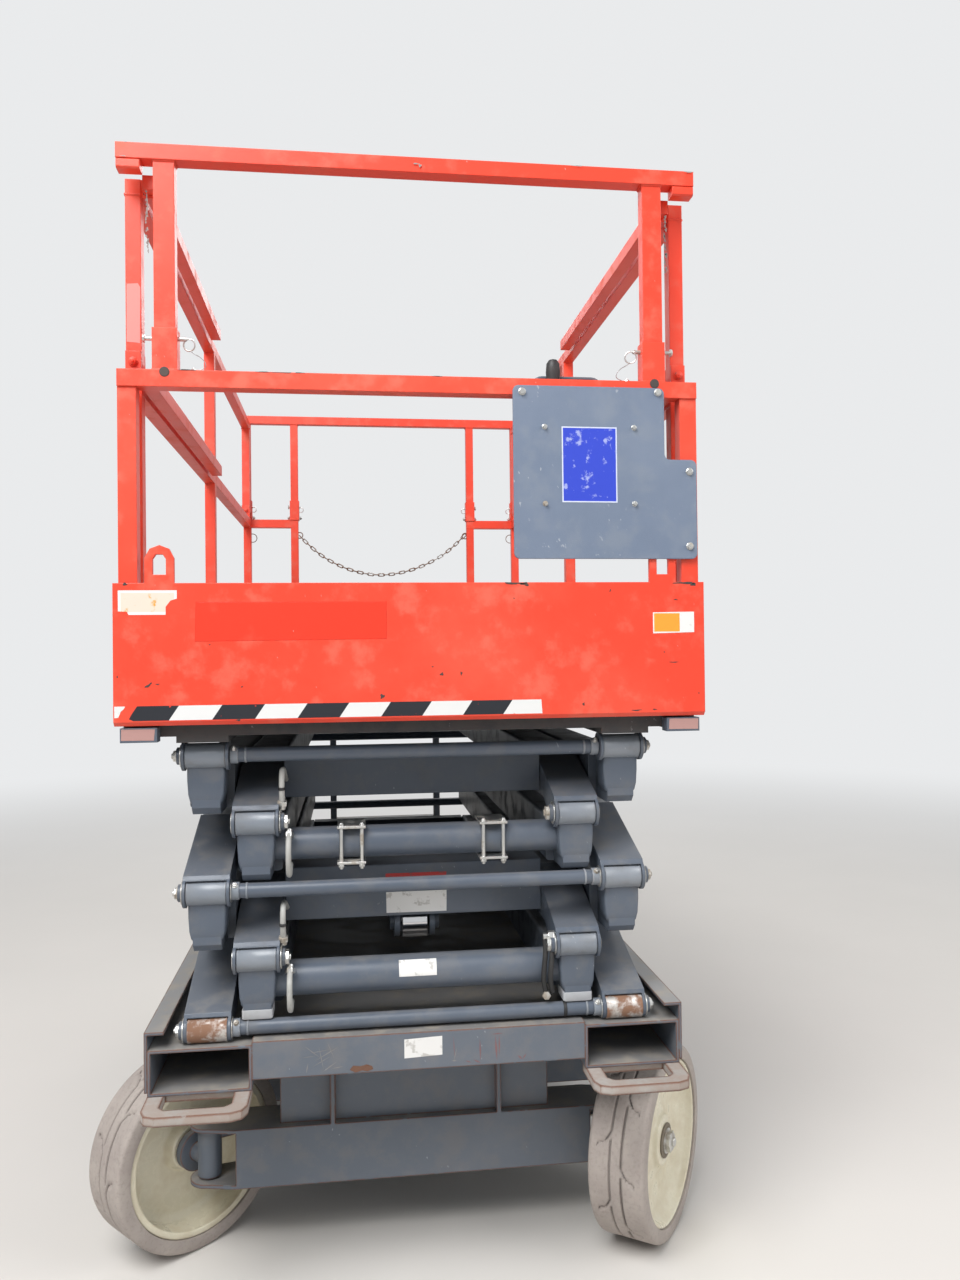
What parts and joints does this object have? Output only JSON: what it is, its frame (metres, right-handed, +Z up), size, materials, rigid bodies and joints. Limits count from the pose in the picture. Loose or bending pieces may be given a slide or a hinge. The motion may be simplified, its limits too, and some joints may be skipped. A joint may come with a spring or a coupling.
{
  "type": "scissor lift",
  "caption": "Self-propelled electric scissor lift with crossed-arm stack, roll-out deck, folding guard rails, steered front wheels and swing-out trays",
  "frame": {"origin": "on the floor under the middle of the machine's outline", "axes": "+X across the machine to the right seen from its steered end, +Y towards the fixed wheels and the entry, +Z up; the steered end and the roll-out deck point to -Y"},
  "size_m": [1.3997, 2.35, 2.312],
  "materials": {
    "orange": "worn gloss orange-red enamel",
    "dark": "worn satin blue-grey enamel",
    "tyre": "non-marking grey-beige solid rubber",
    "rim": "dusty cream enamel",
    "steel": "bare steel with light rust",
    "board": "satin mid-grey enamel, scratched",
    "deck": "worn dark grey deck paint",
    "rod": "hard chrome",
    "block": "dull black housing",
    "box": "dark grey housing"
  },
  "bodies": {
    "chassis": {"fork_pockets": "dark", "side_plates": "dark", "chassis_deck": "dark", "tie_down_lugs": "steel", "front_axle": "dark", "rear_axle": "dark", "tray_pins": "steel", "ladder_stiles": "dark", "ladder_steps": "dark", "scissor_pivots": "dark"},
    "knuckle_left": {"knuckle_left": "dark"},
    "knuckle_right": {"knuckle_right": "dark"},
    "tie_rod": {"tie_rod": "steel"},
    "steer_barrel": {"steer_barrel": "dark"},
    "steer_rod": {"steer_rod": "rod"},
    "battery_tray": {"battery_tray": "dark", "battery_pack": "block"},
    "hydraulic_tray": {"hydraulic_tray": "dark", "hydraulic_unit": "block"},
    "lift_barrel": {"lift_barrel": "dark"},
    "lift_rod": {"lift_rod": "rod"},
    "platform": {"platform_deck": "deck", "platform_brackets": "dark", "toe_boards": "orange", "platform_posts": "orange", "platform_mid_rails": "orange", "entry_chain": "steel"},
    "extension": {"extension_deck": "deck", "front_panel": "orange", "extension_posts": "orange", "extension_rails": "orange", "notice_board": "board", "control_box": "box"},
    "top_rail_front": {"top_rail_front": "orange"},
    "top_rail_rear": {"top_rail_rear": "orange"},
    "top_rail_left": {"top_rail_left": "orange"},
    "top_rail_right": {"top_rail_right": "orange"},
    "slide_rail_left": {"slide_rail_left": "orange"},
    "slide_rail_right": {"slide_rail_right": "orange"},
    "wheel_front_left": {"tyre_front_left": "tyre", "rim_front_left": "rim"},
    "wheel_front_right": {"tyre_front_right": "tyre", "rim_front_right": "rim"},
    "wheel_rear_left": {"tyre_rear_left": "tyre", "rim_rear_left": "rim"},
    "wheel_rear_right": {"tyre_rear_right": "tyre", "rim_rear_right": "rim"},
    "frame_a1": {"arms_a1": "dark"},
    "frame_b1": {"arms_b1": "dark", "cross_b1": "dark"},
    "frame_a2": {"arms_a2": "dark", "cross_a2": "dark"},
    "frame_b2": {"arms_b2": "dark"},
    "frame_a3": {"arms_a3": "dark"},
    "frame_b3": {"arms_b3": "dark", "cross_b3": "dark"},
    "frame_a4": {"arms_a4": "dark", "cross_a4": "dark"},
    "frame_b4": {"arms_b4": "dark"}
  },
  "joints": [
    {"name": "lift", "type": "hinge", "parent": "chassis", "child": "frame_b1", "pos_m": [0, 0.928, 0.575], "axis": [-1, 0, 0], "range_deg": [0, 62]},
    {"name": "fold_a1", "type": "hinge", "parent": "frame_b1", "child": "frame_a1", "pos_m": [0, -0.062, 0.6435], "axis": [-1, 0, 0], "range_deg": [-124, 0]},
    {"name": "fold_a2", "type": "hinge", "parent": "frame_b1", "child": "frame_a2", "pos_m": [0, -1.052, 0.712], "axis": [-1, 0, 0], "range_deg": [-124, 0]},
    {"name": "fold_b2", "type": "hinge", "parent": "frame_a2", "child": "frame_b2", "pos_m": [0, -0.062, 0.7805], "axis": [-1, 0, 0], "range_deg": [0, 124]},
    {"name": "fold_a3", "type": "hinge", "parent": "frame_b2", "child": "frame_a3", "pos_m": [0, -1.052, 0.849], "axis": [-1, 0, 0], "range_deg": [-124, 0]},
    {"name": "fold_b3", "type": "hinge", "parent": "frame_a3", "child": "frame_b3", "pos_m": [0, -0.062, 0.9175], "axis": [-1, 0, 0], "range_deg": [0, 124]},
    {"name": "fold_a4", "type": "hinge", "parent": "frame_b3", "child": "frame_a4", "pos_m": [0, -1.052, 0.986], "axis": [-1, 0, 0], "range_deg": [-124, 0]},
    {"name": "fold_b4", "type": "hinge", "parent": "frame_a4", "child": "frame_b4", "pos_m": [0, -0.062, 1.0545], "axis": [-1, 0, 0], "range_deg": [0, 124]},
    {"name": "level_platform", "type": "hinge", "parent": "frame_a4", "child": "platform", "pos_m": [0, 0.928, 1.123], "axis": [-1, 0, 0], "range_deg": [0, 62]},
    {"name": "cylinder_swing", "type": "hinge", "parent": "frame_b1", "child": "lift_barrel", "pos_m": [0, 0.228, 0.6435], "axis": [-1, 0, 0], "range_deg": [0, 5.2]},
    {"name": "cylinder_stroke", "type": "slide", "parent": "lift_barrel", "child": "lift_rod", "axis": [0, -0.9974, 0.0716], "range_m": [0, 0.33518]},
    {"name": "steer_left", "type": "hinge", "parent": "chassis", "child": "knuckle_left", "pos_m": [-0.457, -0.828, 0.208], "axis": [0, 0, 1], "range_deg": [0, 84.5]},
    {"name": "steer_right", "type": "hinge", "parent": "chassis", "child": "knuckle_right", "pos_m": [0.457, -0.828, 0.208], "axis": [0, 0, 1], "range_deg": [0, 61.22]},
    {"name": "tie_swing", "type": "hinge", "parent": "knuckle_left", "child": "tie_rod", "pos_m": [-0.35431, -0.78858, 0.24], "axis": [0, 0, 1], "range_deg": [-90.96, 0]},
    {"name": "ram_swing", "type": "hinge", "parent": "chassis", "child": "steer_barrel", "pos_m": [0.08, -0.76, 0.198], "axis": [0, 0, 1], "range_deg": [-3.65, 0]},
    {"name": "ram_stroke", "type": "slide", "parent": "steer_barrel", "child": "steer_rod", "axis": [0.9957, 0.0931, 0], "range_m": [-0.10979, 0]},
    {"name": "roll_front_left", "type": "hinge", "parent": "knuckle_left", "child": "wheel_front_left", "pos_m": [-0.51342, -0.76309, 0.208], "axis": [0.6561, -0.7547, 0], "continuous": true},
    {"name": "roll_front_right", "type": "hinge", "parent": "knuckle_right", "child": "wheel_front_right", "pos_m": [0.52701, -0.87794, 0.208], "axis": [0.8141, -0.5807, 0], "continuous": true},
    {"name": "roll_rear_left", "type": "hinge", "parent": "chassis", "child": "wheel_rear_left", "pos_m": [-0.541, 0.892, 0.208], "axis": [1, 0, 0], "continuous": true},
    {"name": "roll_rear_right", "type": "hinge", "parent": "chassis", "child": "wheel_rear_right", "pos_m": [0.541, 0.892, 0.208], "axis": [1, 0, 0], "continuous": true},
    {"name": "deck_roll_out", "type": "slide", "parent": "platform", "child": "extension", "axis": [0, -1, 0], "range_m": [0, 0.914]},
    {"name": "fold_rail_left", "type": "hinge", "parent": "platform", "child": "top_rail_left", "pos_m": [-0.556, -1.06, 1.905], "axis": [0, 1, 0], "range_deg": [0, 90]},
    {"name": "slide_rail_left", "type": "slide", "parent": "top_rail_left", "child": "slide_rail_left", "axis": [0, -1, 0], "range_m": [0, 0.914]},
    {"name": "fold_rail_right", "type": "hinge", "parent": "platform", "child": "top_rail_right", "pos_m": [0.556, -1.06, 1.905], "axis": [0, -1, 0], "range_deg": [0, 90]},
    {"name": "slide_rail_right", "type": "slide", "parent": "top_rail_right", "child": "slide_rail_right", "axis": [0, -1, 0], "range_m": [0, 0.914]},
    {"name": "lift_out_front_rail", "type": "slide", "parent": "extension", "child": "top_rail_front", "axis": [0, 0, 1], "range_m": [0, 0.12]},
    {"name": "lift_out_rear_rail", "type": "slide", "parent": "platform", "child": "top_rail_rear", "axis": [0, 0, 1], "range_m": [0, 0.12]},
    {"name": "swing_battery_tray", "type": "hinge", "parent": "chassis", "child": "battery_tray", "pos_m": [-0.523, -0.514, 0.3], "axis": [0, 0, 1], "range_deg": [0, 90]},
    {"name": "swing_hydraulic_tray", "type": "hinge", "parent": "chassis", "child": "hydraulic_tray", "pos_m": [0.523, -0.514, 0.3], "axis": [0, 0, -1], "range_deg": [0, 90]}
  ],
  "couplings": [
    {"joint": "fold_a1", "follows": "lift", "ratio": -2},
    {"joint": "fold_a2", "follows": "lift", "ratio": -2},
    {"joint": "fold_b2", "follows": "lift", "ratio": 2},
    {"joint": "fold_a3", "follows": "lift", "ratio": -2},
    {"joint": "fold_b3", "follows": "lift", "ratio": 2},
    {"joint": "fold_a4", "follows": "lift", "ratio": -2},
    {"joint": "fold_b4", "follows": "lift", "ratio": 2},
    {"joint": "level_platform", "follows": "lift", "ratio": 1},
    {"joint": "cylinder_swing", "follows": "lift", "ratio": 0.083883},
    {"joint": "cylinder_stroke", "follows": "lift", "m_per_rad": 0.30975},
    {"joint": "steer_right", "follows": "steer_left", "ratio": 0.72449},
    {"joint": "tie_swing", "follows": "steer_left", "ratio": -1.0765},
    {"joint": "ram_swing", "follows": "steer_left", "ratio": -0.043218},
    {"joint": "ram_stroke", "follows": "steer_left", "m_per_rad": -0.074445},
    {"joint": "slide_rail_left", "follows": "deck_roll_out", "ratio": 1},
    {"joint": "slide_rail_right", "follows": "deck_roll_out", "ratio": 1}
  ]
}
